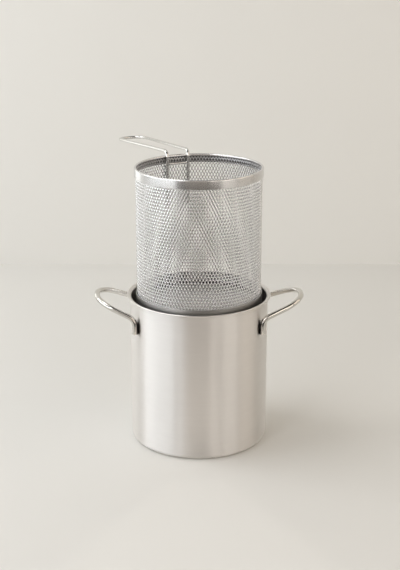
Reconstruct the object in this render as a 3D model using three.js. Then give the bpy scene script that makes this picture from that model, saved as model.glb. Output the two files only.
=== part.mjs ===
// Deep fry pot: a tall stainless steel pot with a flared lip and two welded loop handles, and a
// lift-out basket of expanded metal with a bent wire grip, standing raised at the pot's mouth.
// Millimetres, +Z up, front towards -Y. The origin is the middle of the pot's underside.
import * as THREE from "three";

const degrees = THREE.MathUtils.degToRad;

// Pot body
const potDiameter = 160; // outside of the straight wall
const potHeight = 176; // underside to the top of the lip
const potWall = 1.5;
const potFloor = 3;
const potCornerRadius = 6; // outside, where the floor turns up into the wall
const lipBendRadius = 1.2; // outside, where the wall turns out into the lip
const lipStraight = 2.15; // flat stretch of the lip, from its bend to its rounded edge
const lipFlare = degrees(75); // how far the lip turns out from upright

// Loop handles of the pot
const rodDiameter = 6.2;
const tabSpacing = 80; // between the middles of a loop's two welded ends
const loopEndWidth = 51.4; // between the lines of its two legs at the far end
const loopReach = 45.5; // far end beyond the welded ends, measured level, at the rod's middle
const loopEndRadius = 32; // bends of the far end, at the rod's middle
const loopRise = degrees(21.8); // slope of the loop, upwards and outwards
const tabBottomDrop = 37; // lip down to the lower tips of the welded ends
const tabBendDrop = 19.4; // lip down to the corner where welded end and leg meet
const tabBendRadius = 11; // at the rod's middle

// Basket
const basketClearance = 5.5; // all round, between the basket and the pot's inner wall
const basketHeight = 162;
const mouthDip = 12.5; // depth of the raised basket's foot below the pot's lip
const strip = 0.5; // sheet of the rim band and base ring
const rimBandHeight = 10.4;
const rimHemDrop = 2.4; // inner hem of the rim band, down from its top
const baseRingHeight = 15.7;
const baseRingFlange = 5; // width of the ring's flange under the floor
const baseRingCorner = 1.5; // outside corner radius of the ring

// Expanded metal of the basket
const wallThickness = 1.2;
const wallColumns = 29; // diamonds round the wall
const wallRows = 8; // full rows of diamonds, with half diamonds above and below
const wallStrand = 2.6; // width of a strand
const wallMargin = 2.2; // plain edge at the top and bottom
const floorThickness = 1;
const floorDiamondWidth = 12;
const floorDiamondLength = 24;
const floorStrand = 2.2;

// Wire grip of the basket
const wireDiameter = 4;
const gripTurn = degrees(22); // from straight back towards the left
const gripLegSpacing = 26;
const gripLegDrop = 59.5; // rim down to the lower ends of the legs
const gripRise = 5.5; // rim up to the bends of the legs
const gripReach = 177; // legs to the far end of the loop, measured level
const gripEndWidth = 35;
const gripFall = degrees(5.1); // slope of the grip, down towards its end
const gripBendRadius = 7;
const gripEndRadius = 17;
const braceDiameter = 2.6;
const braceDrop = 9.7; // rim down to the middle of the brace

// Fits and facets
const seatGap = 0.3; // between pieces that touch
const leastRadius = 1; // tightest inside corner of the drawn pot
const leastStraight = 0.5; // shortest straight stretch between two bends
const aroundSteps = 60;
const arcSteps = 3; // facets of a small corner
const bendStep = degrees(12); // turn of a rod or wire at each facet of a bend
const rodSides = 8;
const wireSides = 8;
const braceSides = 12;

// Sizes that follow from the ones above
const potRadius = potDiameter / 2;
const basketRadius = potRadius - potWall - basketClearance; // outside of the rim band and base ring
const basketBottom = potHeight - mouthDip;
const basketTop = basketBottom + basketHeight;
const meshOuterRadius = basketRadius - strip - seatGap;
const meshInnerRadius = meshOuterRadius - wallThickness;
const hemInnerRadius = meshInnerRadius - seatGap - strip;
const foldRadius = (basketRadius - hemInnerRadius) / 2; // outside of the rim band's fold
const floorBottom = basketBottom + strip + seatGap;
const floorTop = floorBottom + floorThickness;
const floorRadius = basketRadius - baseRingCorner;
const wireRadius = wireDiameter / 2;
const legCircleRadius = hemInnerRadius - seatGap - wireRadius;

// Points on a circular arc in the profile plane, both ends included.
function profileArc(centreX, centreY, radius, from, to, steps) {
  const points = [];
  for (let i = 0; i <= steps; i++) {
    const angle = from + ((to - from) * i) / steps;
    points.push(new THREE.Vector2(centreX + radius * Math.cos(angle), centreY + radius * Math.sin(angle)));
  }
  return points;
}

// A profile of radius and height, turned round the pot's axis.
function turned(profile) {
  const geometry = new THREE.LatheGeometry(profile, aroundSteps);
  geometry.rotateX(Math.PI / 2);
  return geometry;
}

// A solid from shared corners and triangles.
function solid(positions, triangles) {
  const geometry = new THREE.BufferGeometry();
  geometry.setAttribute("position", new THREE.Float32BufferAttribute(positions, 3));
  geometry.setIndex(triangles);
  geometry.computeVertexNormals();
  return geometry;
}

// A route through the given corners, each inner corner rounded by its radius.
function roundedRoute(corners, radii, stepAngle) {
  const route = [corners[0]];
  for (let i = 1; i < corners.length - 1; i++) {
    const into = corners[i].clone().sub(corners[i - 1]).normalize();
    const out = corners[i + 1].clone().sub(corners[i]).normalize();
    const turn = into.angleTo(out);
    const radius = radii[i - 1];
    const start = corners[i].clone().addScaledVector(into, -radius * Math.tan(turn / 2));
    const inward = out.clone().addScaledVector(into, -out.dot(into)).normalize();
    const steps = Math.max(2, Math.ceil(turn / stepAngle));
    for (let k = 0; k <= steps; k++) {
      const angle = (turn * k) / steps;
      const along = radius * Math.sin(angle);
      const aside = radius * (1 - Math.cos(angle));
      route.push(start.clone().addScaledVector(into, along).addScaledVector(inward, aside));
    }
  }
  route.push(corners[corners.length - 1]);
  return route;
}

// Direction of travel at each point of a route.
function headings(route) {
  return route.map((point, i) => {
    const before = route[Math.max(i - 1, 0)];
    const after = route[Math.min(i + 1, route.length - 1)];
    return after.clone().sub(before).normalize();
  });
}

// A convex section carried along a route; acrossAt gives the section's first axis at each heading.
function swept(route, section, acrossAt) {
  const sides = section.length;
  const positions = [];
  const triangles = [];
  headings(route).forEach((heading, i) => {
    const across = acrossAt(heading);
    const up = new THREE.Vector3().crossVectors(heading, across).normalize();
    across.crossVectors(up, heading);
    for (const corner of section) {
      const point = route[i].clone().addScaledVector(across, corner.x).addScaledVector(up, corner.y);
      positions.push(point.x, point.y, point.z);
    }
  });
  for (let i = 0; i < route.length - 1; i++) {
    for (let k = 0; k < sides; k++) {
      const a = i * sides + k;
      const b = i * sides + ((k + 1) % sides);
      triangles.push(a, b, b + sides, a, b + sides, a + sides);
    }
  }
  const last = (route.length - 1) * sides;
  for (let k = 1; k < sides - 1; k++) {
    triangles.push(0, k + 1, k);
    triangles.push(last, last + k, last + k + 1);
  }
  return solid(positions, triangles);
}

function roundSection(diameter, sides) {
  return profileArc(0, 0, diameter / 2, 0, 2 * Math.PI, sides).slice(0, sides);
}

// Drawn pot with a rounded foot and a lip that turns outwards.
function potShell() {
  const innerRadius = potRadius - potWall;
  const innerCorner = Math.max(potCornerRadius - potWall, leastRadius);
  const lipInnerBend = lipBendRadius + potWall;
  const lipCentreX = potRadius + lipBendRadius;
  const lipMiddle = lipBendRadius + potWall / 2;
  const lipRise = lipStraight * Math.cos(lipFlare);
  // The lip's rounded edge stands highest, so the bend starts below the top by this much.
  const lipTop = lipMiddle * Math.sin(lipFlare) + lipRise + potWall / 2;
  const lipCentreY = potHeight - lipTop;
  const edgeX = lipCentreX - lipMiddle * Math.cos(lipFlare) + lipStraight * Math.sin(lipFlare);
  const edgeY = lipCentreY + lipMiddle * Math.sin(lipFlare) + lipRise;
  const edgeFrom = -lipFlare;
  const profile = [
    new THREE.Vector2(0, 0),
    ...profileArc(potRadius - potCornerRadius, potCornerRadius, potCornerRadius, -Math.PI / 2, 0, arcSteps + 1),
    ...profileArc(lipCentreX, lipCentreY, lipBendRadius, Math.PI, Math.PI - lipFlare, arcSteps),
    ...profileArc(edgeX, edgeY, potWall / 2, edgeFrom, edgeFrom + Math.PI, arcSteps - 1),
    ...profileArc(lipCentreX, lipCentreY, lipInnerBend, Math.PI - lipFlare, Math.PI, arcSteps),
    ...profileArc(innerRadius - innerCorner, potFloor + innerCorner, innerCorner, 0, -Math.PI / 2, arcSteps),
    new THREE.Vector2(0, potFloor),
  ];
  return turned(profile);
}

// Round rod bent into a sloping loop, its two ends turned down along the wall.
function loopHandle() {
  const tabY = tabSpacing / 2;
  const endY = loopEndWidth / 2;
  const tabRadius = potRadius + seatGap + rodDiameter / 2;
  const tabX = Math.sqrt(tabRadius ** 2 - tabY ** 2);
  const tabBottom = potHeight - tabBottomDrop;
  const cornerZ = potHeight - tabBendDrop;
  const endX = tabX + loopReach;
  const endZ = cornerZ + loopReach * Math.tan(loopRise);
  const legLength = Math.hypot(loopReach / Math.cos(loopRise), tabY - endY);
  const endTurn = Math.acos((tabY - endY) / legLength);
  const endRoom = Math.min(endY - leastStraight / 2, legLength - tabBendRadius - leastStraight);
  const endRadius = Math.min(loopEndRadius, endRoom / Math.tan(endTurn / 2));
  const corners = [
    new THREE.Vector3(tabX, tabY, tabBottom),
    new THREE.Vector3(tabX, tabY, cornerZ),
    new THREE.Vector3(endX, endY, endZ),
    new THREE.Vector3(endX, -endY, endZ),
    new THREE.Vector3(tabX, -tabY, cornerZ),
    new THREE.Vector3(tabX, -tabY, tabBottom),
  ];
  const route = roundedRoute(corners, [tabBendRadius, endRadius, endRadius, tabBendRadius], bendStep);
  const loopNormal = new THREE.Vector3(-Math.sin(loopRise), 0, Math.cos(loopRise));
  const acrossAt = (heading) => new THREE.Vector3().crossVectors(loopNormal, heading).normalize();
  return swept(route, roundSection(rodDiameter, rodSides), acrossAt);
}

// Strip folded over the top edge of the basket's wall.
function rimBand() {
  const foldX = (basketRadius + hemInnerRadius) / 2;
  const foldY = basketTop - foldRadius;
  const bandBottom = basketTop - rimBandHeight;
  const hemBottom = basketTop - rimHemDrop;
  const profile = [
    new THREE.Vector2(basketRadius - strip, bandBottom),
    new THREE.Vector2(basketRadius, bandBottom),
    ...profileArc(foldX, foldY, foldRadius, 0, Math.PI, arcSteps + 1),
    new THREE.Vector2(hemInnerRadius, hemBottom),
    new THREE.Vector2(hemInnerRadius + strip, hemBottom),
    ...profileArc(foldX, foldY, foldRadius - strip, Math.PI, 0, arcSteps),
    new THREE.Vector2(basketRadius - strip, bandBottom),
  ];
  return turned(profile);
}

// Angle ring that takes the lower edge of the wall and carries the floor on its flange.
function baseRing() {
  const ringTop = basketBottom + baseRingHeight;
  const cornerX = basketRadius - baseRingCorner;
  const cornerY = basketBottom + baseRingCorner;
  const innerCorner = baseRingCorner - strip;
  const flangeInner = basketRadius - baseRingFlange;
  const profile = [
    new THREE.Vector2(flangeInner, basketBottom),
    ...profileArc(cornerX, cornerY, baseRingCorner, -Math.PI / 2, 0, arcSteps),
    new THREE.Vector2(basketRadius, ringTop),
    new THREE.Vector2(basketRadius - strip, ringTop),
    ...profileArc(cornerX, cornerY, innerCorner, 0, -Math.PI / 2, arcSteps),
    new THREE.Vector2(flangeInner, basketBottom + strip),
    new THREE.Vector2(flangeInner, basketBottom),
  ];
  return turned(profile);
}

// Share of a diamond cell that stays open when every strand has the given width.
function openShare(halfWidth, halfLength, strand) {
  const reach = (halfWidth * halfLength) / Math.hypot(halfWidth, halfLength);
  return 1 - strand / 2 / reach;
}

// Expanded metal rolled into a tube: staggered diamonds, cut straight along both edges.
function basketWall() {
  const bottom = floorTop + seatGap;
  const top = basketTop - foldRadius;
  const rowPitch = (top - bottom - 2 * wallMargin) / (wallRows + 1);
  const halfWidth = (Math.PI * (meshOuterRadius - wallThickness / 2)) / wallColumns;
  const open = openShare(halfWidth, rowPitch, wallStrand);
  const positions = [];
  const triangles = [];
  const pointAt = (radius, column, z) => {
    const angle = (2 * Math.PI * column) / wallColumns;
    positions.push(radius * Math.cos(angle), radius * Math.sin(angle), z);
    return positions.length / 3 - 1;
  };
  const pair = (column, z) => ({
    out: pointAt(meshOuterRadius, column, z),
    in: pointAt(meshInnerRadius, column, z),
  });
  const triangle = (a, b, c) => triangles.push(a.out, b.out, c.out, a.in, c.in, b.in);
  const quad = (a, b, c, d) => {
    triangle(a, b, c);
    triangle(a, c, d);
  };
  const edge = (a, b) => triangles.push(a.out, b.out, b.in, a.out, b.in, a.in);

  // Rows -1 and wallRows are the half diamonds along the two edges.
  const shift = (row) => (row % 2 === 0 ? 0 : 0.5);
  const diamonds = new Map();
  const diamond = (row, column) => diamonds.get(row)[(column + wallColumns) % wallColumns];
  for (let row = -1; row <= wallRows; row++) {
    const z = bottom + wallMargin + (row + 1) * rowPitch;
    const made = [];
    for (let i = 0; i < wallColumns; i++) {
      const column = i + shift(row);
      made.push({
        left: pair(column - open / 2, z),
        right: pair(column + open / 2, z),
        top: row < wallRows ? pair(column, z + rowPitch * open) : null,
        bottom: row > -1 ? pair(column, z - rowPitch * open) : null,
        foot: row === -1 ? [pair(column - open / 2, bottom), pair(column + open / 2, bottom)] : null,
        head: row === wallRows ? [pair(column - open / 2, top), pair(column + open / 2, top)] : null,
      });
    }
    diamonds.set(row, made);
  }

  for (let row = -1; row <= wallRows; row++) {
    const ahead = shift(row) === 0 ? 0 : 1;
    for (let i = 0; i < wallColumns; i++) {
      const here = diamond(row, i);
      const next = diamond(row, i + 1);
      const above = row < wallRows ? diamond(row + 1, i + ahead) : null;
      const aboveLeft = row < wallRows ? diamond(row + 1, i + ahead - 1) : null;
      const below = row > -1 ? diamond(row - 1, i + ahead) : null;
      // Inside faces of the opening.
      const rim = [here.right, here.top, here.left, here.bottom].filter(Boolean);
      rim.forEach((corner, k) => edge(corner, rim[(k + 1) % rim.length]));
      // Two strands up to the next row.
      if (above) {
        quad(here.right, above.bottom, above.left, here.top);
        quad(here.top, aboveLeft.right, aboveLeft.bottom, here.left);
      }
      // Knot between this diamond and the next, or the plain edge beyond it.
      if (above && below) quad(here.right, below.top, next.left, above.bottom);
      if (here.foot) {
        triangle(here.right, next.left, above.bottom);
        quad(here.foot[0], here.foot[1], here.right, here.left);
        quad(here.foot[1], next.foot[0], next.left, here.right);
        edge(here.foot[1], here.foot[0]);
        edge(next.foot[0], here.foot[1]);
      }
      if (here.head) {
        triangle(here.right, below.top, next.left);
        quad(here.left, here.right, here.head[1], here.head[0]);
        quad(here.right, next.left, next.head[0], here.head[1]);
        edge(here.head[0], here.head[1]);
        edge(here.head[1], next.head[0]);
      }
    }
  }
  return solid(positions, triangles);
}

// Flat disc of expanded metal, with a plain rim where the base ring takes it.
function basketFloor() {
  const disc = new THREE.Shape();
  disc.absarc(0, 0, floorRadius, 0, 2 * Math.PI);
  const openLimit = basketRadius - baseRingFlange;
  const open = openShare(floorDiamondWidth / 2, floorDiamondLength / 2, floorStrand);
  const halfWidth = (floorDiamondWidth / 2) * open;
  const halfLength = (floorDiamondLength / 2) * open;
  const rows = Math.ceil(floorRadius / (floorDiamondLength / 2));
  const columns = Math.ceil(floorRadius / floorDiamondWidth);
  for (let row = -rows; row <= rows; row++) {
    for (let column = -columns; column <= columns; column++) {
      const x = (column + (row % 2 === 0 ? 0 : 0.5)) * floorDiamondWidth;
      const y = (row * floorDiamondLength) / 2;
      const sideReach = Math.hypot(Math.abs(x) + halfWidth, y);
      const endReach = Math.hypot(x, Math.abs(y) + halfLength);
      if (Math.max(sideReach, endReach) > openLimit) continue;
      const corners = [
        new THREE.Vector2(x + halfWidth, y),
        new THREE.Vector2(x, y - halfLength),
        new THREE.Vector2(x - halfWidth, y),
        new THREE.Vector2(x, y + halfLength),
      ];
      disc.holes.push(new THREE.Path(corners));
    }
  }
  const geometry = new THREE.ExtrudeGeometry(disc, {
    depth: floorThickness,
    bevelEnabled: false,
    curveSegments: aroundSteps / 2,
  });
  return geometry.translate(0, 0, floorBottom);
}

// One wire: up both legs inside the wall, over the rim and out to a rounded end.
function wireGrip() {
  const legX = gripLegSpacing / 2;
  const legY = Math.sqrt(legCircleRadius ** 2 - legX ** 2);
  const bendZ = basketTop + gripRise;
  const legBottom = basketTop - gripLegDrop;
  const endX = gripEndWidth / 2;
  const endY = legY + gripReach;
  const endZ = bendZ - gripReach * Math.tan(gripFall);
  const corners = [
    new THREE.Vector3(-legX, legY, legBottom),
    new THREE.Vector3(-legX, legY, bendZ),
    new THREE.Vector3(-endX, endY, endZ),
    new THREE.Vector3(endX, endY, endZ),
    new THREE.Vector3(legX, legY, bendZ),
    new THREE.Vector3(legX, legY, legBottom),
  ];
  const endRadius = Math.min(gripEndRadius, endX - leastStraight / 2);
  const route = roundedRoute(corners, [gripBendRadius, endRadius, endRadius, gripBendRadius], bendStep);
  const gripNormal = new THREE.Vector3(0, Math.sin(gripFall), Math.cos(gripFall));
  const acrossAt = (heading) => new THREE.Vector3().crossVectors(gripNormal, heading).normalize();
  return swept(route, roundSection(wireDiameter, wireSides), acrossAt);
}

// Short bar welded between the legs of the grip.
function gripBrace() {
  const legY = Math.sqrt(legCircleRadius ** 2 - (gripLegSpacing / 2) ** 2);
  const length = gripLegSpacing - 2 * (wireRadius + seatGap);
  const geometry = new THREE.CylinderGeometry(braceDiameter / 2, braceDiameter / 2, length, braceSides);
  geometry.rotateZ(Math.PI / 2);
  return geometry.translate(0, legY, basketTop - braceDrop);
}

const satinSteel = { color: 0xc4beb4, metalness: 1, roughness: 0.32 };
const polishedSteel = { color: 0xc9c6c0, metalness: 1, roughness: 0.18 };
const meshSteel = { color: 0xbdbcbb, metalness: 1, roughness: 0.38 };

function piece(name, geometry, finish) {
  const mesh = new THREE.Mesh(geometry, new THREE.MeshStandardMaterial(finish));
  mesh.name = name;
  return mesh;
}

const pot = new THREE.Group();
const rightHandle = piece("right_handle", loopHandle(), polishedSteel);
const leftHandle = piece("left_handle", loopHandle(), polishedSteel);
leftHandle.rotation.z = Math.PI;
pot.add(piece("pot_shell", potShell(), satinSteel), rightHandle, leftHandle);

const grip = new THREE.Group();
grip.rotation.z = gripTurn;
grip.add(piece("basket_grip", wireGrip(), polishedSteel), piece("grip_brace", gripBrace(), polishedSteel));

const basket = new THREE.Group();
basket.add(
  piece("basket_wall", basketWall(), meshSteel),
  piece("basket_floor", basketFloor(), meshSteel),
  piece("basket_rim_band", rimBand(), satinSteel),
  piece("basket_base_ring", baseRing(), satinSteel),
  grip,
);

const deepFryPot = new THREE.Group();
deepFryPot.add(pot, basket);

export default deepFryPot;
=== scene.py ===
import math

import bpy
import numpy as np
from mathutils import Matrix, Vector


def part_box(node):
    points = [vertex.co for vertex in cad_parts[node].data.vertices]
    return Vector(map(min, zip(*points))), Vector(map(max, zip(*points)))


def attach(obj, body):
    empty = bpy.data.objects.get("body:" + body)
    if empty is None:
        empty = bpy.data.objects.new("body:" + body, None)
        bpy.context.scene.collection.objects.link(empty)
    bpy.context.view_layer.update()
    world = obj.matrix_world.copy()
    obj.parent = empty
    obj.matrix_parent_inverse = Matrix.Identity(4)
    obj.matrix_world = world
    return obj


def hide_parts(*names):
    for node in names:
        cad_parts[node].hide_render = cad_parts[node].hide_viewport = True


# Deep fry pot: drawn pot, two rod handles and a lift-out basket of expanded metal, in a pale studio.
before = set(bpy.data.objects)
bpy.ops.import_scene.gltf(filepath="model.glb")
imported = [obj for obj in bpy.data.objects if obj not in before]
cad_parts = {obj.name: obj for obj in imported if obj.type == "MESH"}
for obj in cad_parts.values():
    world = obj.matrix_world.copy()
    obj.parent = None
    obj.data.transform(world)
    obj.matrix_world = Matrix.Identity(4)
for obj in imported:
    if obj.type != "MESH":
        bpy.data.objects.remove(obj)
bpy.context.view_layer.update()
mm = 0.001
print("frame loaded:", len(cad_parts), "nodes")


# Photo camera: fitted to the outlines of the lip, wall, rim band and foot
photoView = dict(
    place=(1.23 * mm, -1273.5 * mm, 598.9 * mm),
    tilt=72.0,  # degrees up from looking straight down
    focalPixels=1153.7,
    longSidePixels=570,
    sensor=36.0,
)


def addCamera(view):
    lens = bpy.data.cameras.new("photo_camera")
    lens.sensor_width = view["sensor"]
    lens.lens = view["sensor"] * view["focalPixels"] / view["longSidePixels"]
    camera = bpy.data.objects.new("photo_camera", lens)
    camera.location = view["place"]
    camera.rotation_euler = (math.radians(view["tilt"]), 0, 0)
    bpy.context.scene.collection.objects.link(camera)
    bpy.context.scene.camera = camera
    bpy.context.scene.view_settings.view_transform = "Standard"


addCamera(photoView)
print("camera set")


# Shader maths: a Signal is one socket, and a Finish is one node tree that makes them
class Signal:
    def __init__(self, finish, socket):
        self.finish = finish
        self.socket = socket

    def out(self, name):
        return Signal(self.finish, self.socket.node.outputs[name])

    def maths(self, operation, first, second):
        return self.finish.node("ShaderNodeMath", {"operation": operation}, {0: first, 1: second})

    def __add__(self, other):
        return self.maths("ADD", self, other)

    def __radd__(self, other):
        return self.maths("ADD", other, self)

    def __sub__(self, other):
        return self.maths("SUBTRACT", self, other)

    def __rsub__(self, other):
        return self.maths("SUBTRACT", other, self)

    def __mul__(self, other):
        return self.maths("MULTIPLY", self, other)

    def __rmul__(self, other):
        return self.maths("MULTIPLY", other, self)


class Finish:
    def __init__(self, tree):
        self.tree = tree
        self.tree.nodes.clear()

    def node(self, kind, settings=None, sockets=None):
        made = self.tree.nodes.new(kind)
        for key, value in (settings or {}).items():
            setattr(made, key, value)
        for key, value in (sockets or {}).items():
            if isinstance(value, Signal):
                self.tree.links.new(value.socket, made.inputs[key])
            else:
                made.inputs[key].default_value = value
        first = next((socket for socket in made.outputs if socket.enabled), None)
        return Signal(self, first)

    def blend(self, share, low, high):
        settings = {"data_type": "RGBA"}
        mixed = self.node("ShaderNodeMix", settings, {0: share, 6: (*low, 1), 7: (*high, 1)})
        return Signal(self, mixed.socket.node.outputs[2])

    def place(self):
        return self.node("ShaderNodeTexCoord").out("Object")

    def noise(self, vector, scale, detail=2.0):
        return self.node("ShaderNodeTexNoise", {}, {"Vector": vector, "Scale": scale, "Detail": detail})

    def aroundAxis(self, turnScale, acrossScale):
        # lines round the pot's axis: little change with the turn, much with radius and height
        axes = self.node("ShaderNodeSeparateXYZ", {}, {0: self.place()})
        x, y, z = axes.out("X"), axes.out("Y"), axes.out("Z")
        turn = self.node("ShaderNodeMath", {"operation": "ARCTAN2"}, {0: y, 1: x})
        radius = self.node("ShaderNodeMath", {"operation": "SQRT"}, {0: x * x + y * y})
        lines = {"X": turn * turnScale, "Y": radius * acrossScale, "Z": z * acrossScale}
        return self.node("ShaderNodeCombineXYZ", {}, lines)

    def bump(self, height, strength, distance):
        sockets = {"Height": height, "Strength": strength, "Distance": distance}
        return self.node("ShaderNodeBump", {}, sockets)

    def output(self, shader):
        self.node("ShaderNodeOutputMaterial", {}, {"Surface": shader})


def newMaterial(name):
    material = bpy.data.materials.new(name)
    material.use_nodes = True
    return material, Finish(material.node_tree)


# Steel finishes: how much each pattern counts in the wear, and the turn of the smear
wearShares = dict(fineLines=0.35, broadLines=0.35, clouds=0.30, haze=0.6, grain=0.4)
wearMiddle = 0.5
uprightSmear = 0.25  # a quarter turn


# Satin steel: spun finish, fine lines round the axis that smear reflections upright
def spunSteel(name, look):
    material, finish = newMaterial(name)
    fineLines = finish.noise(finish.aroundAxis(look["lineTurn"], look["finePitch"]), 1.0)
    broadLines = finish.noise(finish.aroundAxis(look["lineTurn"], look["broadPitch"]), 1.0)
    clouds = finish.noise(finish.place(), look["cloudScale"], detail=3.0)
    wear = fineLines * wearShares["fineLines"] + broadLines * wearShares["broadLines"]
    wear = wear + clouds * wearShares["clouds"]
    tint = finish.blend(wear, look["dark"], look["light"])
    roughness = look["roughness"] + look["roughnessSwing"] * (wear - wearMiddle)
    shader = finish.node("ShaderNodeBsdfPrincipled", {}, {
        "Base Color": tint,
        "Metallic": 1.0,
        "Roughness": roughness,
        "Anisotropic": look["smear"],
        "Anisotropic Rotation": uprightSmear,
        "Normal": finish.bump(fineLines, look["bump"], look["bumpDepth"]),
    })
    finish.output(shader)
    return material


# Polished steel: bright, with faint polishing haze
def polishedSteel(name, look):
    material, finish = newMaterial(name)
    haze = finish.noise(finish.place(), look["hazeScale"], detail=4.0)
    grain = finish.noise(finish.place(), look["grainScale"])
    wear = haze * wearShares["haze"] + grain * wearShares["grain"]
    tint = finish.blend(wear, look["dark"], look["light"])
    shader = finish.node("ShaderNodeBsdfPrincipled", {}, {
        "Base Color": tint,
        "Metallic": 1.0,
        "Roughness": look["roughness"] + look["roughnessSwing"] * (wear - wearMiddle),
        "Normal": finish.bump(grain, look["bump"], look["bumpDepth"]),
    })
    finish.output(shader)
    return material


# What several finishes share
bandSpin = dict(
    roughnessSwing=0.08, smear=0.7, lineTurn=3.0, finePitch=3000.0, broadPitch=400.0, cloudScale=25.0,
    bump=0.05, bumpDepth=0.02 * mm)
dullPolish = dict(
    roughnessSwing=0.10, hazeScale=50.0, grainScale=900.0, bump=0.04, bumpDepth=0.02 * mm)
meshPolish = dict(
    roughnessSwing=0.10, hazeScale=90.0, grainScale=1500.0, bump=0.05, bumpDepth=0.02 * mm)

potSteel = spunSteel("pot_satin_steel", dict(
    dark=(0.79, 0.765, 0.745), light=(0.88, 0.86, 0.835), roughness=0.44, roughnessSwing=0.08,
    smear=1.0, lineTurn=3.0, finePitch=2600.0, broadPitch=260.0, cloudScale=18.0,
    bump=0.05, bumpDepth=0.02 * mm))
bandSteel = spunSteel("basket_band_steel", dict(
    bandSpin, dark=(0.67, 0.665, 0.665), light=(0.78, 0.775, 0.775), roughness=0.26))
# the foot ring: the rim band's spun steel in a darker tint, partly its own steel and partly painted
# shade for its place low in the pot's mouth
ringShadeSteel = spunSteel("base_ring_steel_painted_shade", dict(
    bandSpin, dark=(0.48, 0.474, 0.468), light=(0.58, 0.572, 0.564), roughness=0.30))
insideSteel = polishedSteel("pot_inside_steel", dict(
    dark=(0.80, 0.775, 0.74), light=(0.89, 0.865, 0.83), roughness=0.28, roughnessSwing=0.06,
    hazeScale=40.0, grainScale=900.0, bump=0.04, bumpDepth=0.02 * mm))
handleSteel = polishedSteel("handle_polished_steel", dict(
    dark=(0.60, 0.582, 0.548), light=(0.72, 0.702, 0.667), roughness=0.09, roughnessSwing=0.04,
    hazeScale=60.0, grainScale=900.0, bump=0.04, bumpDepth=0.02 * mm))
wireSteel = polishedSteel("grip_wire_steel", dict(
    dark=(0.60, 0.592, 0.575), light=(0.74, 0.73, 0.712), roughness=0.10, roughnessSwing=0.05,
    hazeScale=70.0, grainScale=1200.0, bump=0.04, bumpDepth=0.02 * mm))
# near-black steel for the bands' inner faces: painted shade under the rim and inside the foot
shadedSteel = polishedSteel("band_inside_painted_shade", dict(
    dullPolish, dark=(0.10, 0.095, 0.092), light=(0.17, 0.162, 0.156), roughness=0.30))
# black steel: painted shade for the crevices beside the handle tabs and the grip legs, and for the foot
# ring's seam strip
paintedShadeSteel = polishedSteel("painted_shade_steel", dict(
    dullPolish, dark=(0.020, 0.018, 0.017), light=(0.045, 0.040, 0.037), roughness=0.45))
meshSteel = polishedSteel("mesh_steel", dict(
    meshPolish, dark=(0.87, 0.874, 0.886), light=(0.96, 0.964, 0.976), roughness=0.14))
# a darker copy of the mesh steel for the strands' inner sides: painted shade inside the basket
meshInsideShadeSteel = polishedSteel("mesh_inside_painted_shade", dict(
    meshPolish, dark=(0.66, 0.655, 0.66), light=(0.76, 0.755, 0.76), roughness=0.26))
# a darker copy still for the inner sides under the rim band: painted shade from the band
meshShadedSteel = polishedSteel("mesh_under_band_painted_shade", dict(
    meshPolish, dark=(0.43, 0.425, 0.43), light=(0.53, 0.525, 0.53), roughness=0.28))
print("finishes made")


# Mesh tools
def addPiece(name, points, faces, material, body, node, sharp=30, smooth=True):
    mesh = bpy.data.meshes.new(name)
    mesh.from_pydata(points, [], faces)
    mesh.validate()
    mesh.polygons.foreach_set("use_smooth", [smooth] * len(mesh.polygons))
    if smooth:
        mesh.set_sharp_from_angle(angle=math.radians(sharp))
    mesh.materials.append(material)
    piece = bpy.data.objects.new(name, mesh)
    bpy.context.scene.collection.objects.link(piece)
    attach(piece, body)
    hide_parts(node)
    print("made", name, len(mesh.polygons), "faces")
    return piece


def arc(centreX, centreY, radius, start, end, steps):
    turns = [math.radians(start + (end - start) * k / steps) for k in range(steps + 1)]
    return [(centreX + radius * math.cos(turn), centreY + radius * math.sin(turn)) for turn in turns]


def turned(profile, closed, steps=256):
    points = []
    rings = []
    for radius, height in profile:
        count = steps if radius > 0 else 1
        rings.append([len(points) + k for k in range(count)])
        for k in range(count):
            turn = 2 * math.pi * k / steps
            points.append((radius * math.cos(turn), radius * math.sin(turn), height))
    if closed:
        rings.append(rings[0])
    faces = []
    for low, high in zip(rings, rings[1:]):
        for k in range(steps):
            near, far = k, (k + 1) % steps
            below = low[near % len(low)], low[far % len(low)]
            above = high[far % len(high)], high[near % len(high)]
            faces.append(list(dict.fromkeys(below + above)))  # a corner on the axis is named once
    return points, faces


def roundedRoute(corners, radii, stepTurn=4):
    corners = [Vector(corner) for corner in corners]
    route = [corners[0]]
    for before, corner, after, radius in zip(corners, corners[1:], corners[2:], radii):
        into = (corner - before).normalized()
        leaving = (after - corner).normalized()
        turn = into.angle(leaving)
        start = corner - into * radius * math.tan(turn / 2)
        inward = (leaving - into * leaving.dot(into)).normalized()
        steps = max(2, math.ceil(math.degrees(turn) / stepTurn))
        for k in range(steps + 1):
            angle = turn * k / steps
            forward = into * radius * math.sin(angle)
            aside = inward * radius * (1 - math.cos(angle))
            route.append(start + forward + aside)
    route.append(corners[-1])
    return route


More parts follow.
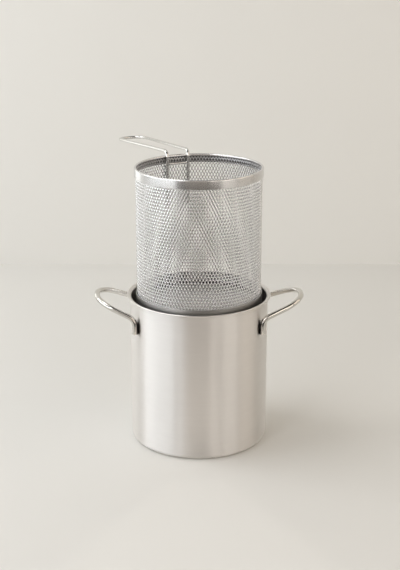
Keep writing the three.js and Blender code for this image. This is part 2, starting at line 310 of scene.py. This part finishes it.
def swept(route, section, acrossAt, endEase):
    # endEase: pairs of distance before an end and size of the section there, to shape the ends
    first = (route[1] - route[0]).normalized()
    last = (route[-1] - route[-2]).normalized()
    headEase = [(route[0] + first * reach, size) for reach, size in endEase]
    tailEase = [(route[-1] - last * reach, size) for reach, size in reversed(endEase)]
    stations = headEase + [(point, 1.0) for point in route[1:-1]] + tailEase
    points = []
    for i, (point, size) in enumerate(stations):
        before = stations[max(i - 1, 0)][0]
        after = stations[min(i + 1, len(stations) - 1)][0]
        heading = (after - before).normalized()
        across = acrossAt(heading)
        up = heading.cross(across).normalized()
        across = up.cross(heading)
        points += [point + (across * x + up * y) * size for x, y in section]
    sides = len(section)
    faces = []
    for i in range(len(stations) - 1):
        for k in range(sides):
            a, b = i * sides + k, i * sides + (k + 1) % sides
            faces.append((a, b, b + sides, a + sides))
    end = (len(stations) - 1) * sides
    faces.append(tuple(reversed(range(sides))))
    faces.append(tuple(range(end, end + sides)))
    return points, faces


def circle(diameter, sides):
    return arc(0, 0, diameter / 2, 0, 360, sides)[:-1]


def squareTo(normal):
    return lambda heading: normal.cross(heading).normalized()


creviceFacing = 0.2  # how squarely a face has to look at a wall to count as its crevice


def paintCreviceShade(piece, top, reach, side):
    # below a height and within a radius, the side facing a wall is painted near black, as painted shade
    # and painted dark reflection of the crevice
    # side is 1 for a wall further out than the piece, and -1 for one further in
    piece.data.materials.append(paintedShadeSteel)
    for face in piece.data.polygons:
        away = Vector((face.center.x, face.center.y, 0))
        isNear = face.center.z < top and away.length < reach
        if isNear and face.normal.dot(away.normalized()) * side > creviceFacing:
            face.material_index = 1


# Pot: drawn shell with a rounded foot and a lip that turns out
potSizes = dict(
    wallRadius=80 * mm,
    sheet=1.5 * mm,
    floor=3 * mm,
    footRadius=6 * mm,
    lipBend=1.2 * mm,
    lipStraight=2.15 * mm,
    lipFlare=75,  # degrees out from upright
    footSteps=12,
    bendSteps=10,
)


def addPot(size):
    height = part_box("pot_shell")[1].z
    radius, sheet, flare = size["wallRadius"], size["sheet"], size["lipFlare"]
    foot, bend = size["footRadius"], size["lipBend"]
    innerFoot = foot - sheet
    lipX = radius + bend
    lipMiddle = bend + sheet / 2
    rise, reach = math.sin(math.radians(flare)), math.cos(math.radians(flare))
    straight, steps = size["lipStraight"], size["bendSteps"]
    lipZ = height - lipMiddle * rise - straight * reach - sheet / 2
    edgeX = lipX - lipMiddle * reach + straight * rise
    edgeZ = lipZ + lipMiddle * rise + straight * reach
    profile = [
        (0, 0),
        *arc(radius - foot, foot, foot, -90, 0, size["footSteps"]),
        *arc(lipX, lipZ, bend, 180, 180 - flare, steps),
        *arc(edgeX, edgeZ, sheet / 2, -flare, 180 - flare, steps),
        *arc(lipX, lipZ, bend + sheet, 180 - flare, 180, steps),
        *arc(radius - sheet - innerFoot, size["floor"] + innerFoot, innerFoot, 0, -90, steps),
        (0, size["floor"]),
    ]
    points, faces = turned(profile, closed=False)
    pot = addPiece("pot_drawn_shell", points, faces, potSteel, "pot", "pot_shell")
    pot.data.materials.append(insideSteel)
    for face in pot.data.polygons:
        middle = face.center
        isInside = math.hypot(middle.x, middle.y) < radius - sheet / 2 and middle.z > size["floor"] / 2
        face.material_index = 1 if isInside and middle.z < lipZ + bend else 0


addPot(potSizes)


# Loop handles: one round rod each, bent into a sloping loop, its ends turned down and welded on the wall
rodSizes = dict(
    rod=6.2 * mm,
    tabSpacing=80 * mm,
    loopEndWidth=51.4 * mm,
    loopReach=45.5 * mm,
    loopEnd=32 * mm,  # bend radius of the far end
    rise=21.8,  # degrees
    tabBottom=37 * mm,  # below the lip
    tabBend=19.4 * mm,
    tabBendRadius=11 * mm,
    sink=0.02 * mm,  # ends pressed on the wall by the weld
    sides=32,
    endEase=[(0.0, 0.82), (0.12 * mm, 0.92), (0.4 * mm, 1.0)],
)


def addHandle(name, node, size, side):
    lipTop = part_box("pot_shell")[1].z
    tabY, endY = size["tabSpacing"] / 2, size["loopEndWidth"] / 2
    tabRadius = potSizes["wallRadius"] + size["rod"] / 2 - size["sink"]
    tabX = math.sqrt(tabRadius ** 2 - tabY ** 2)
    slope = math.radians(size["rise"])
    bottomZ, cornerZ = lipTop - size["tabBottom"], lipTop - size["tabBend"]
    endX = tabX + size["loopReach"]
    endZ = cornerZ + size["loopReach"] * math.tan(slope)
    corners = [
        (tabX, tabY, bottomZ),
        (tabX, tabY, cornerZ),
        (endX, endY, endZ),
        (endX, -endY, endZ),
        (tabX, -tabY, cornerZ),
        (tabX, -tabY, bottomZ),
    ]
    radii = [size["tabBendRadius"], size["loopEnd"], size["loopEnd"], size["tabBendRadius"]]
    normal = Vector((-math.sin(slope), 0, math.cos(slope)))
    section = circle(size["rod"], size["sides"])
    route = roundedRoute(corners, radii)
    points, faces = swept(route, section, squareTo(normal), size["endEase"])
    # side is 1 on the right, and -1 turns the handle half round to the left
    points = [Vector((point.x * side, point.y * side, point.z)) for point in points]
    handle = addPiece(name, points, faces, handleSteel, "pot", node)
    # the tab rods' flanks facing the pot wall get painted shade, standing in for the crevice's shade and
    # the rod's dark reflection in the wall
    paintCreviceShade(handle, cornerZ, tabRadius + size["rod"], -1)


addHandle("right_rod_handle", "right_handle", rodSizes, 1)
addHandle("left_rod_handle", "left_handle", rodSizes, -1)


# Basket bands: a strip folded over the rim, and an angle ring round the foot
bandSizes = dict(
    strip=0.5 * mm,
    hemInner=70.2 * mm,  # radius
    hemDrop=2.4 * mm,
    flange=5 * mm,
    footCorner=1.5 * mm,
    seam=2.6 * mm,  # strip of black painted shade above the foot's corner, under the edge of the wall
    edgeEase=0.15 * mm,  # bevel of the strip's outer edges
    foldSteps=14,
    innerFoldSteps=10,
    cornerSteps=8,
)


def shadeInside(band, outer, strip, shadeTop):
    # the faces that look inwards get painted shade, and black painted shade in the seam strip where the
    # foot, wall and floor meet
    band.data.materials.append(shadedSteel)
    band.data.materials.append(paintedShadeSteel)
    for face in band.data.polygons:
        away = Vector((face.center.x, face.center.y, 0))
        isInner = outer - 2 * strip < away.length < outer - strip / 2
        if isInner and face.normal.dot(away) < 0:
            face.material_index = 2 if face.center.z < shadeTop else 1


def addRimBand(size):
    low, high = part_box("basket_rim_band")
    outer, top, bottom = high.x, high.z, low.z
    fold = (outer - size["hemInner"]) / 2
    foldX, foldZ = (outer + size["hemInner"]) / 2, top - fold
    profile = [
        (outer - size["strip"], bottom),
        (outer - size["edgeEase"], bottom),
        (outer, bottom + size["edgeEase"]),
        *arc(foldX, foldZ, fold, 0, 180, size["foldSteps"]),
        (size["hemInner"], top - size["hemDrop"]),
        (size["hemInner"] + size["strip"], top - size["hemDrop"]),
        *arc(foldX, foldZ, fold - size["strip"], 180, 0, size["innerFoldSteps"]),
    ]
    points, faces = turned(profile, closed=True)
    band = addPiece("rim_band_folded", points, faces, bandSteel,
                    "basket", "basket_rim_band")
    # the band's inner faces take the painted shade
    shadeInside(band, outer, size["strip"], bottom)


def addBaseRing(size):
    low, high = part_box("basket_base_ring")
    outer, top, bottom = high.x, high.z, low.z
    corner, strip, steps = size["footCorner"], size["strip"], size["cornerSteps"]
    profile = [
        (outer - size["flange"], bottom),
        *arc(outer - corner, bottom + corner, corner, -90, 0, steps),
        (outer, top - size["edgeEase"]),
        (outer - size["edgeEase"], top),
        (outer - strip, top),
        (outer - strip, bottom + corner + size["seam"]),
        *arc(outer - corner, bottom + corner, corner - strip, 0, -90, steps),
        (outer - size["flange"], bottom + strip),
    ]
    points, faces = turned(profile, closed=True)
    ring = addPiece("base_ring_rolled", points, faces, ringShadeSteel,
                    "basket", "basket_base_ring")
    # the ring's inner faces take the painted shade, black in the strip under the wall's edge
    shadeInside(ring, outer, strip, bottom + corner + size["seam"])


addRimBand(bandSizes)
addBaseRing(bandSizes)


# Expanded metal: staggered diamonds, made flat and then rolled or cut round
meshSizes = dict(
    columns=124,  # diamonds round the wall
    lapColumns=4,  # diamonds of overlap at the seam
    lapStart=117.0,  # degrees
    lapShift=0.95 * mm,  # inner end of the lap stands this far inside the outer end
    rowPitch=3.6 * mm,
    strand=0.94 * mm,
    sheet=0.55 * mm,
    tilt=0.07 * mm,  # the right side of each opening stands out by this much, the left side in
    wallMiddle=71.45 * mm,  # radius
    insideFacing=-0.4,  # faces that look inwards by more than this take the darker, painted shade copy of the steel
)


def openShare(halfWidth, halfLength, strand):
    reach = halfWidth * halfLength / math.hypot(halfWidth, halfLength)
    return 1 - strand / 2 / reach


class ExpandedSheet:
    # collects the corners of staggered diamonds on both sides of a sheet, and the faces between them
    def __init__(self, size, columns, rows, pitchAcross):
        self.columns, self.rows = columns, rows
        self.pitchAcross, self.pitchAlong = pitchAcross, size["rowPitch"]
        self.open = openShare(pitchAcross / 2, self.pitchAlong, size["strand"])
        self.sheet, self.tilt = size["sheet"], size["tilt"]
        self.points, self.faces, self.corners = [], [], {}

    def count(self, row):
        return self.columns if row % 2 else self.columns + 1

    def corner(self, row, column, side):
        key = (row, column, side)
        if key not in self.corners:
            across = (column + (0.5 if row % 2 else 0.0)) * self.pitchAcross
            along = row * self.pitchAlong
            lift = 0.0
            if side in "LR":
                sign = 1 if side == "R" else -1
                across += sign * self.open * self.pitchAcross / 2
                lift = sign * self.tilt
            else:
                along += (1 if side == "T" else -1) * self.open * self.pitchAlong
            index = len(self.points)
            self.points.append((across, along, lift + self.sheet / 2))
            self.points.append((across, along, lift - self.sheet / 2))
            self.corners[key] = (index, index + 1)
        return self.corners[key]

    def plate(self, *corners):
        self.faces.append(tuple(corner[0] for corner in corners))
        self.faces.append(tuple(corner[1] for corner in reversed(corners)))

    def edge(self, a, b):
        self.faces.append((a[0], b[0], b[1], a[1]))

    def build(self):
        for row in range(self.rows):
            for column in range(self.count(row)):
                self.diamond(row, column)
        return self

    def diamond(self, row, column):
        # the edges of one opening, and the two strands that rise from it
        odd = row % 2
        hasLeft = odd or column > 0
        hasRight = odd or column < self.columns
        top, bottom = self.corner(row, column, "T"), self.corner(row, column, "B")
        left = self.corner(row, column, "L") if hasLeft else None
        right = self.corner(row, column, "R") if hasRight else None
        isLast, isFirst = row == self.rows - 1, row == 0
        upRight = column + odd
        upLeft = upRight - 1
        if right and not isLast:
            self.edge(right, top)
            beyond = self.corner(row + 1, upRight, "B"), self.corner(row + 1, upRight, "L")
            self.plate(right, *beyond, top)
        if left and not isLast:
            self.edge(top, left)
            beyond = self.corner(row + 1, upLeft, "R"), self.corner(row + 1, upLeft, "B")
            self.plate(top, *beyond, left)
        if left and not isFirst:
            self.edge(left, bottom)
        if right and not isFirst:
            self.edge(bottom, right)
        self.knot(row, column, left, right, isFirst, isLast)

    def knot(self, row, column, left, right, isFirst, isLast):
        # where the strands meet between this opening and the next one in its row
        odd = row % 2
        beside = column + odd
        below = None if isFirst else self.corner(row - 1, beside, "T")
        above = None if isLast else self.corner(row + 1, beside, "B")
        inSheet = column + 1 < self.count(row)
        following = self.corner(row, column + 1, "L") if inSheet else None
        ring = [corner for corner in (right, below, following, above) if corner]
        if right and len(ring) >= 3:
            self.plate(*ring)
        if isFirst and right and following:
            self.edge(following, right)
        if isLast and right and following:
            self.edge(right, following)
        if odd and column == 0 and below and above:
            self.halfKnot(row, left)
        if odd and not inSheet and below and above:
            self.edge(below, above)

    def halfKnot(self, row, left):
        # closes the sheet's left end
        below, above = self.corner(row - 1, 0, "T"), self.corner(row + 1, 0, "B")
        self.plate(below, left, above)
        self.edge(above, below)


def paintMeshInsideShade(wall, insideFacing, bandBottom):
    # the strands' inner sides take a darker copy of the steel as painted shade, and a darker one still
    # under the rim band as more painted shade
    wall.data.materials.append(meshInsideShadeSteel)
    wall.data.materials.append(meshShadedSteel)
    count = len(wall.data.polygons)
    centres, normals = np.empty(3 * count), np.empty(3 * count)
    wall.data.polygons.foreach_get("center", centres)
    wall.data.polygons.foreach_get("normal", normals)
    centres = centres.reshape(-1, 3)
    away = centres[:, :2] / np.linalg.norm(centres[:, :2], axis=1, keepdims=True)
    facing = np.sum(away * normals.reshape(-1, 3)[:, :2], axis=1)
    finishes = np.where(centres[:, 2] > bandBottom, 2, 1) * (facing < insideFacing)
    wall.data.polygons.foreach_set("material_index", finishes.astype(int))


def addMeshWall(size):
    low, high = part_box("basket_wall")
    rows = int((high.z - low.z) / size["rowPitch"])
    columns = size["columns"] + size["lapColumns"]
    pitch = 2 * math.pi * size["wallMiddle"] / size["columns"]
    sheet = ExpandedSheet(size, columns, rows, pitch).build()
    flat = np.array(sheet.points)
    used = (rows - 1 + 2 * sheet.open) * size["rowPitch"]
    startZ = (low.z + high.z - used) / 2 + sheet.open * size["rowPitch"]
    turn = math.radians(size["lapStart"]) + flat[:, 0] / size["wallMiddle"]
    easeColumns = 2 * size["lapColumns"]  # the sheet moves inwards over these, before the lap begins
    lapEase = np.clip(flat[:, 0] / pitch - (columns - size["lapColumns"] - easeColumns), 0, easeColumns)
    lapEase /= easeColumns
    inward = size["lapShift"] * lapEase ** 2 * (3 - 2 * lapEase)  # a smooth step
    radius = size["wallMiddle"] + flat[:, 2] - inward
    height = np.clip(startZ + flat[:, 1], low.z, high.z)
    points = np.stack([radius * np.cos(turn), radius * np.sin(turn), height], axis=1)
    wall = addPiece("basket_mesh_wall", points.tolist(), sheet.faces, meshSteel,
                    "basket", "basket_wall", sharp=180)
    paintMeshInsideShade(wall, size["insideFacing"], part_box("basket_rim_band")[0].z)


def addMeshFloor(size):
    low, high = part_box("basket_floor")
    reach = high.x
    pitch = 2 * math.pi * size["wallMiddle"] / size["columns"]
    columns = 2 * math.ceil(reach / pitch) + 2  # a little more sheet than the disc needs
    rows = 2 * math.ceil(reach / size["rowPitch"]) + 3
    sheet = ExpandedSheet(size, columns, rows, pitch).build()
    flat = np.array(sheet.points)
    flat[:, 0] -= columns * pitch / 2
    flat[:, 1] -= (rows - 1) * size["rowPitch"] / 2
    away = np.hypot(flat[:, 0], flat[:, 1])
    outside = away > reach
    kept = [face for face in sheet.faces if not all(outside[corner] for corner in face)]
    pull = np.where(outside, reach / np.maximum(away, reach), 1.0)
    flat[:, 0] *= pull
    flat[:, 1] *= pull
    flat[:, 2] += (low.z + high.z) / 2
    used = sorted({corner for face in kept for corner in face})
    renumber = {old: new for new, old in enumerate(used)}
    faces = [tuple(renumber[corner] for corner in face) for face in kept]
    addPiece("basket_mesh_floor", flat[used].tolist(), faces, meshSteel,
             "basket", "basket_floor", smooth=False)


addMeshWall(meshSizes)
addMeshFloor(meshSizes)


# Wire grip: one wire up both legs, over the rim and out to a rounded end, with a bar across the legs
gripSizes = dict(
    wire=4 * mm,
    turn=22,  # degrees from straight back towards the left
    legCircle=67.9 * mm,
    legSpacing=26 * mm,
    legDrop=59.5 * mm,  # below the rim
    rise=5.5 * mm,  # bends above the rim
    reach=177 * mm,
    endWidth=35 * mm,
    fall=5.1,  # degrees
    bendRadius=7 * mm,
    endRadius=17 * mm,
    sides=24,
    endEase=[(0.0, 0.55), (0.25 * mm, 0.78), (0.7 * mm, 0.94), (1.2 * mm, 1.0)],
    brace=2.6 * mm,
    braceDrop=9.7 * mm,
    braceSides=20,
    braceWeld=1.0 * mm,  # the bar's ends swell over this length
    braceEase=[(0.0, 1.35), (0.4 * mm, 1.2), (1.0 * mm, 1.0)],
)


def gripFrame(size):
    turn = math.radians(size["turn"])
    aside = Vector((math.cos(turn), math.sin(turn), 0))
    back = Vector((-math.sin(turn), math.cos(turn), 0))
    legY = math.sqrt(size["legCircle"] ** 2 - (size["legSpacing"] / 2) ** 2)
    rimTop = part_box("basket_rim_band")[1].z
    return aside, back, legY, rimTop


def addGrip(size):
    aside, back, legY, rimTop = gripFrame(size)
    legX, endX = size["legSpacing"] / 2, size["endWidth"] / 2
    bendZ, legBottom = rimTop + size["rise"], rimTop - size["legDrop"]
    fall = math.radians(size["fall"])
    endY = legY + size["reach"]
    endZ = bendZ - size["reach"] * math.tan(fall)

    def at(x, y, z):
        return aside * x + back * y + Vector((0, 0, z))

    corners = [
        at(-legX, legY, legBottom),
        at(-legX, legY, bendZ),
        at(-endX, endY, endZ),
        at(endX, endY, endZ),
        at(legX, legY, bendZ),
        at(legX, legY, legBottom),
    ]
    radii = [size["bendRadius"], size["endRadius"], size["endRadius"], size["bendRadius"]]
    normal = back * math.sin(fall) + Vector((0, 0, math.cos(fall)))
    section = circle(size["wire"], size["sides"])
    route = roundedRoute(corners, radii)
    points, faces = swept(route, section, squareTo(normal), size["endEase"])
    grip = addPiece("grip_bent_wire", points, faces, wireSteel,
                    "basket", "basket_grip")
    # the legs' faces looking out at the basket wall get painted shade, for the shade between the legs
    # and the mesh
    paintCreviceShade(grip, rimTop - size["rise"], size["legCircle"] + size["wire"], 1)


def addBrace(size):
    aside, back, legY, rimTop = gripFrame(size)
    half = size["legSpacing"] / 2 - size["wire"] / 2
    middle = back * legY + Vector((0, 0, rimTop - size["braceDrop"]))
    weld = size["braceWeld"]
    route = [middle + aside * x for x in (-half, -half + weld, 0, half - weld, half)]
    section = circle(size["brace"], size["braceSides"])
    upright = Vector((0, 0, 1))
    points, faces = swept(route, section, lambda heading: upright, size["braceEase"])
    addPiece("grip_cross_brace", points, faces, wireSteel,
             "basket", "grip_brace")


addGrip(gripSizes)
addBrace(gripSizes)


# Studio: pale floor and backdrop, cool window light from the left, warm light from the room
studio = dict(
    backdropY=690 * mm,
    floorReach=4.0,
    floorTint=(0.776, 0.77, 0.743),
    wallTint=(0.82, 0.815, 0.787),
    paperFibre=900.0,
    paperShade=0.985,  # the darkest fibres against the tint
    paperRoughness=0.75,
    paperGloss=0.2,
    roomLevel=0.02,
    roomTint=(1.0, 0.90, 0.78),
    lampDistance=1.9,
    lampAim=200 * mm,
    seenTint=(0.78, 0.75, 0.70),  # the surround as the camera sees it past the floor
    fadeStart=0.95,  # distance from the object where the paper begins to fade into the surround
    fadeEnd=1.7,
    # a dark cloth and a bright card lie on the floor in front, seen only in reflections
    cardHeight=2 * mm,
    flagNear=(-0.42, 0.20),  # the cloth's near edge: place and half width
    flagFar=(-2.20, 2.10),
    flagTint=(0.05, 0.046, 0.042),
    flagPaler=1.2,
    flagWeave=600.0,
    flagRoughness=0.9,
    cardNear=(-0.125, 0.03),  # the card reaches from here to the cloth
    cardLevel=1.15,
    cardTint=(1.0, 0.93, 0.84),
)
# Each lamp fills a stretch of the surround: turn, half width, low and high edge are in degrees
lamps = dict(
    window_back_left=dict(turn=-112, half=14, low=8, high=48, level=2.64, tint=(1, 1, 1)),
    window_left_low=dict(turn=-82, half=16, low=2, high=24, level=3.2, tint=(0.97, 1, 1.03)),
    window_left_high=dict(turn=-82, half=16, low=24, high=50, level=0.86, tint=(1, 1, 1)),
    window_middle=dict(turn=-53, half=13, low=2, high=24, level=3.3, tint=(0.98, 1, 1.02)),
    window_front_low=dict(turn=-33, half=7, low=2, high=24, level=0.72, tint=(1.07, 1, 0.93)),
    window_front_high=dict(turn=-33, half=7, low=24, high=50, level=3.9, tint=(1.01, 1, 0.99)),
    skylight_left=dict(turn=-90, half=30, low=56, high=78, level=4.3, tint=(1.01, 1, 0.98)),
    room_front=dict(turn=-4, half=20, low=1, high=24, level=0.65, tint=(1.12, 1, 0.87)),
    room_front_high=dict(turn=-4, half=20, low=24, high=50, level=0.55, tint=(1.06, 1, 0.94),
                         onlyReflected=True),
    card_front_low=dict(turn=27, half=9, low=2, high=24, level=1.36, tint=(1.09, 1, 0.9)),
    card_front_high=dict(turn=27, half=9, low=24, high=48, level=1.7, tint=(1.08, 1, 0.92)),
    card_right_low=dict(turn=52, half=15, low=0, high=22, level=1.55, tint=(1.06, 1, 0.93)),
    card_right_high=dict(turn=52, half=15, low=22, high=48, level=1.15, tint=(1.12, 1, 0.87)),
    card_side_low=dict(turn=88, half=18, low=0, high=24, level=1.05, tint=(1.12, 1, 0.87)),
    card_side_high=dict(turn=88, half=18, low=24, high=50, level=1.2, tint=(1.12, 1, 0.87)),
    glint_back_left=dict(turn=-132, half=12, low=-6, high=24, level=0.7, tint=(0.98, 1, 1.02),
                         onlyReflected=True, distance=0.80),
)


def stagePlane(name, corners, material):
    mesh = bpy.data.meshes.new(name)
    mesh.from_pydata(corners, [], [tuple(range(len(corners)))])
    mesh.materials.append(material)
    plane = bpy.data.objects.new(name, mesh)
    bpy.context.scene.collection.objects.link(plane)
    return plane


def paperMaterial(name, tint, look):
    # matt studio paper, seen through from behind so that it never hides the object
    # far off it fades into the surround for the camera
    material, finish = newMaterial(name)
    fibre = finish.noise(finish.place(), look["paperFibre"], detail=3.0)
    darker = tuple(channel * look["paperShade"] for channel in tint)
    shader = finish.node("ShaderNodeBsdfPrincipled", {}, {
        "Base Color": finish.blend(fibre, darker, tint),
        "Roughness": look["paperRoughness"],
        "Specular IOR Level": look["paperGloss"],
    })
    surround = finish.node("ShaderNodeEmission", {}, {"Color": (*look["seenTint"], 1), "Strength": 1.0})
    away = finish.node("ShaderNodeVectorMath", {"operation": "LENGTH"}, {0: finish.place()}).out("Value")
    fade = finish.node("ShaderNodeMapRange", {"interpolation_type": "SMOOTHSTEP"}, {
        "Value": away, "From Min": look["fadeStart"], "From Max": look["fadeEnd"]})
    camera = finish.node("ShaderNodeLightPath").out("Is Camera Ray")
    paper = finish.node("ShaderNodeMixShader", {}, {0: fade * camera, 1: shader, 2: surround})
    clear = finish.node("ShaderNodeBsdfTransparent")
    behind = finish.node("ShaderNodeNewGeometry").out("Backfacing")
    finish.output(finish.node("ShaderNodeMixShader", {}, {0: behind, 1: paper, 2: clear}))
    return material


def addStage(look):
    reach, back = look["floorReach"], look["backdropY"]
    floor = [(-reach, -reach, 0), (reach, -reach, 0), (reach, back, 0), (-reach, back, 0)]
    wall = [(-reach, back, 0), (reach, back, 0), (reach, back, reach), (-reach, back, reach)]
    stagePlane("floor", floor, paperMaterial("floor_paper", look["floorTint"], look))
    stagePlane("backdrop", wall, paperMaterial("backdrop_paper", look["wallTint"], look))


def addLamp(name, look, room):
    aim = Vector((0, 0, room["lampAim"]))
    distance = look.get("distance", room["lampDistance"])
    turn, rise = math.radians(look["turn"]), math.radians((look["low"] + look["high"]) / 2)
    spread = math.radians((look["high"] - look["low"]) / 2)
    way = Vector((math.sin(turn) * math.cos(rise), -math.cos(turn) * math.cos(rise), math.sin(rise)))
    lamp = bpy.data.lights.new(name, "AREA")
    lamp.shape = "RECTANGLE"
    lamp.size = 2 * distance * math.tan(math.radians(look["half"])) * math.cos(rise)
    lamp.size_y = 2 * distance * math.tan(spread)
    lamp.energy = look["level"] * lamp.size * lamp.size_y * math.pi
    lamp.color = look["tint"]
    holder = bpy.data.objects.new(name, lamp)
    holder.location = aim + way * distance
    holder.rotation_euler = (-way).to_track_quat("-Z", "Y").to_euler()
    holder.visible_camera = False
    holder.visible_diffuse = not look.get("onlyReflected", False)
    bpy.context.scene.collection.objects.link(holder)


def addFloorCard(name, near, far, height, material):
    (nearY, nearHalf), (farY, farHalf) = near, far
    corners = [
        (-farHalf, farY, height),
        (farHalf, farY, height),
        (nearHalf, nearY, height),
        (-nearHalf, nearY, height),
    ]
    card = stagePlane(name, corners, material)
    card.visible_camera = False
    card.visible_diffuse = False
    card.visible_transmission = False
    card.visible_shadow = False


def addFlags(look):
    cloth, finish = newMaterial("flag_cloth")
    weave = finish.noise(finish.place(), look["flagWeave"])
    paler = tuple(channel * look["flagPaler"] for channel in look["flagTint"])
    tint = finish.blend(weave, look["flagTint"], paler)
    shader = finish.node("ShaderNodeBsdfPrincipled", {}, {
        "Base Color": tint,
        "Roughness": look["flagRoughness"],
    })
    finish.output(shader)
    addFloorCard("front_flag", look["flagNear"], look["flagFar"], look["cardHeight"], cloth)
    glow, finish = newMaterial("card_glow")
    light = {"Color": (*look["cardTint"], 1), "Strength": look["cardLevel"]}
    finish.output(finish.node("ShaderNodeEmission", {}, light))
    addFloorCard("front_card", look["cardNear"], look["flagNear"], look["cardHeight"], glow)


def addWorld(look):
    world = bpy.data.worlds.new("studio_world")
    bpy.context.scene.world = world
    world.use_nodes = True
    finish = Finish(world.node_tree)
    room = {"Color": (*look["roomTint"], 1), "Strength": look["roomLevel"]}
    seen = {"Color": (*look["seenTint"], 1), "Strength": 1.0}
    light = finish.node("ShaderNodeBackground", {}, room)
    pale = finish.node("ShaderNodeBackground", {}, seen)
    camera = finish.node("ShaderNodeLightPath").out("Is Camera Ray")
    mixed = finish.node("ShaderNodeMixShader", {}, {0: camera, 1: light, 2: pale})
    finish.node("ShaderNodeOutputWorld", {}, {"Surface": mixed})


addStage(studio)
addFlags(studio)
for lampName, lampLook in lamps.items():
    addLamp(lampName, lampLook, studio)
addWorld(studio)
print("studio lit")
